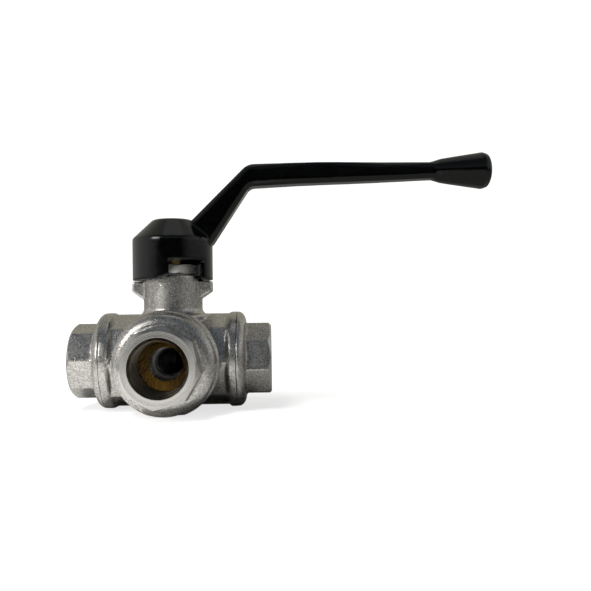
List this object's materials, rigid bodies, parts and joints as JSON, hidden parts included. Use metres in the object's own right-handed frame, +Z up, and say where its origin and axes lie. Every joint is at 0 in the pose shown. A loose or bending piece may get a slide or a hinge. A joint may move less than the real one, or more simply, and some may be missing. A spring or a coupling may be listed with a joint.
{
  "type": "three way ball valve",
  "caption": "Three-way ball valve: T-shaped nickel-plated body with screwed female ends, a neck with two ears, and a black cranked lever under which the stem turns an L-bore ball.",
  "frame": {"origin": "centre of the flat pad under the body, on the stem's axis; the port axes cross the stem 18.4 mm above it", "axes": "+Z up the stem, +X along the lever at rest and out of the right port, -Y out of the front port"},
  "size_m": [0.1671, 0.0576, 0.1005],
  "materials": {
    "nickel_plated_body": "nickel plated over shot-blasted forging",
    "nickel_plated_end": "nickel plated, turned faces bright",
    "gland_nut_nickel": "nickel plated",
    "chromed_ball": "polished",
    "stem_brass": "turned",
    "ptfe": "matte",
    "seal_rubber": "matte",
    "black_handle": "gloss black coating over casting",
    "zinc_steel": "zinc plated"
  },
  "bodies": {
    "valve": {"left_end_adapter": "nickel_plated_end", "right_end_adapter": "nickel_plated_end", "front_end_adapter": "nickel_plated_end", "left_adapter_oring": "seal_rubber", "right_adapter_oring": "seal_rubber", "front_adapter_oring": "seal_rubber", "left_ball_seat": "ptfe", "right_ball_seat": "ptfe", "front_ball_seat": "ptfe", "rear_ball_seat": "ptfe", "valve_body": "nickel_plated_body", "stem_thrust_washer": "ptfe", "packing_ring_lower": "ptfe", "packing_ring_upper": "ptfe", "gland_nut": "gland_nut_nickel"},
    "handle_and_ball": {"handle": "black_handle", "stem": "stem_brass", "ball": "chromed_ball", "stem_oring_lower": "seal_rubber", "stem_oring_upper": "seal_rubber", "handle_spring_washer": "zinc_steel", "handle_nut": "zinc_steel"}
  },
  "joints": [
    {"name": "handle_turn", "type": "hinge", "parent": "valve", "child": "handle_and_ball", "pos_m": [0, 0, 0], "axis": [0, 0, 1], "range_deg": [-90, 0]}
  ]
}
